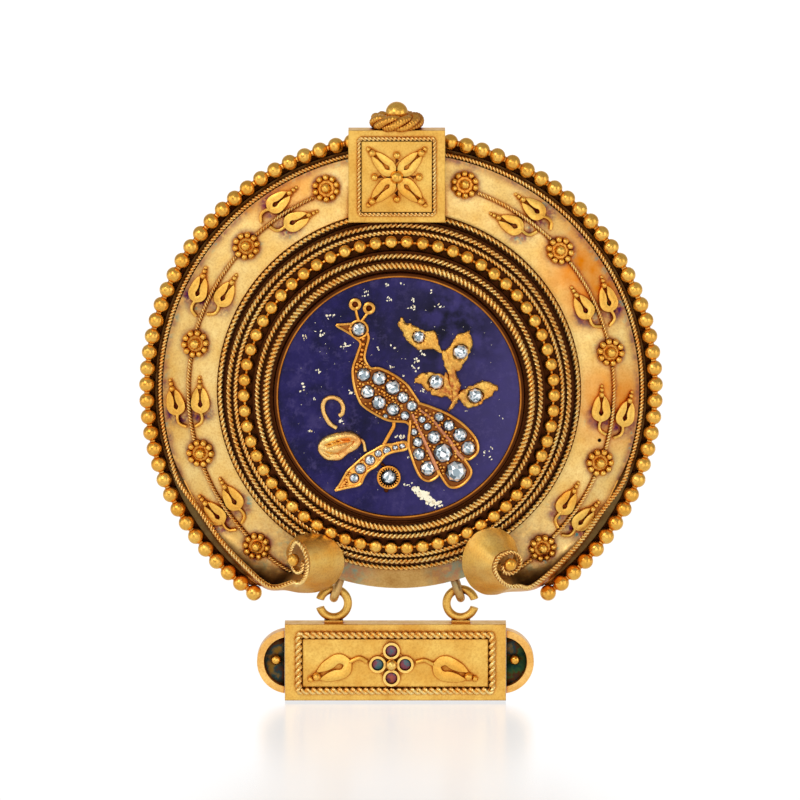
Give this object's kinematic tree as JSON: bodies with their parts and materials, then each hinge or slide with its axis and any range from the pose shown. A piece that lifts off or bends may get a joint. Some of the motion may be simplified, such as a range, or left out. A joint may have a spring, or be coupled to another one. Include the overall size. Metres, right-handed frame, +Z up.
{
  "type": "peacock brooch",
  "caption": "Round gold brooch with a lapis medallion inlaid with a jewelled peacock, a beaded crescent rim with scrolled ends, a plaque on top and a bar that swings below.",
  "frame": {"origin": "on the pin's axis behind the medallion, midway between its posts", "axes": "+X to the viewer's right, +Y from the front of the brooch to its back, into the cloth, +Z up"},
  "size_m": [0.0524, 0.0125, 0.0611],
  "materials": {
    "gold_sheet": "satin bloomed gold, tarnished round its ornament",
    "gold_beads": "bright gold, dark in the recesses",
    "gold_rope": "twisted gold wire, dark between its strands",
    "gold_ornament": "satin gold with dark seams",
    "gold_polished": "polished gold",
    "gold_patina": "satin gold, sunk fields with green and brown tarnish",
    "gold_back": "plain satin gold",
    "gold_inlay": "rose-tinted gold settings",
    "gold_leaf": "hammered orange gold",
    "lapis": "polished lapis lazuli with pyrite flecks",
    "diamond": "rose-cut diamond"
  },
  "bodies": {
    "brooch": {"back_plate": "gold_back", "berry_collet": "gold_inlay", "berry_stone": "diamond", "bezel": "gold_polished", "body_stones": "diamond", "branch": "gold_inlay", "branch_stones": "diamond", "crescent_band": "gold_sheet", "finial_ball": "gold_polished", "finial_ring": "gold_rope", "fruit": "gold_leaf", "head_stone": "diamond", "lapis_disc": "lapis", "leaf_pods": "gold_ornament", "leaf_spray": "gold_leaf", "leaf_stone_1": "diamond", "leaf_stone_2": "diamond", "leaf_stone_3": "diamond", "leaf_stone_4": "diamond", "medallion_bead_wire": "gold_beads", "medallion_frame": "gold_sheet", "peacock_setting": "gold_inlay", "pin": "gold_back", "plaque_box": "gold_sheet", "plaque_flower": "gold_ornament", "plaque_rope": "gold_rope", "rim_bead_wire": "gold_beads", "rim_rope": "gold_rope", "rope_ring_fifth": "gold_rope", "rope_ring_first": "gold_rope", "rope_ring_fourth": "gold_rope", "rope_ring_second": "gold_rope", "rope_ring_third": "gold_rope", "rosettes": "gold_ornament", "stem_wires": "gold_rope", "tail_stone_1": "diamond", "tail_stone_10": "diamond", "tail_stone_11": "diamond", "tail_stone_12": "diamond", "tail_stone_13": "diamond", "tail_stone_2": "diamond", "tail_stone_3": "diamond", "tail_stone_4": "diamond", "tail_stone_5": "diamond", "tail_stone_6": "diamond", "tail_stone_7": "diamond", "tail_stone_8": "diamond", "tail_stone_9": "diamond", "tendril": "gold_leaf", "volute_balls": "gold_polished"},
    "bar": {"bar_box": "gold_sheet", "bar_rope": "gold_rope", "bar_flower": "gold_ornament", "bar_leaf_left": "gold_ornament", "bar_leaf_right": "gold_ornament", "lunette_left": "gold_patina", "lunette_right": "gold_patina"}
  },
  "joints": [
    {"name": "bar_swing", "type": "hinge", "parent": "brooch", "child": "bar", "pos_m": [-0.00038, -0.00218, -0.02805], "axis": [1, 0, 0], "range_deg": [-50, 60]}
  ]
}
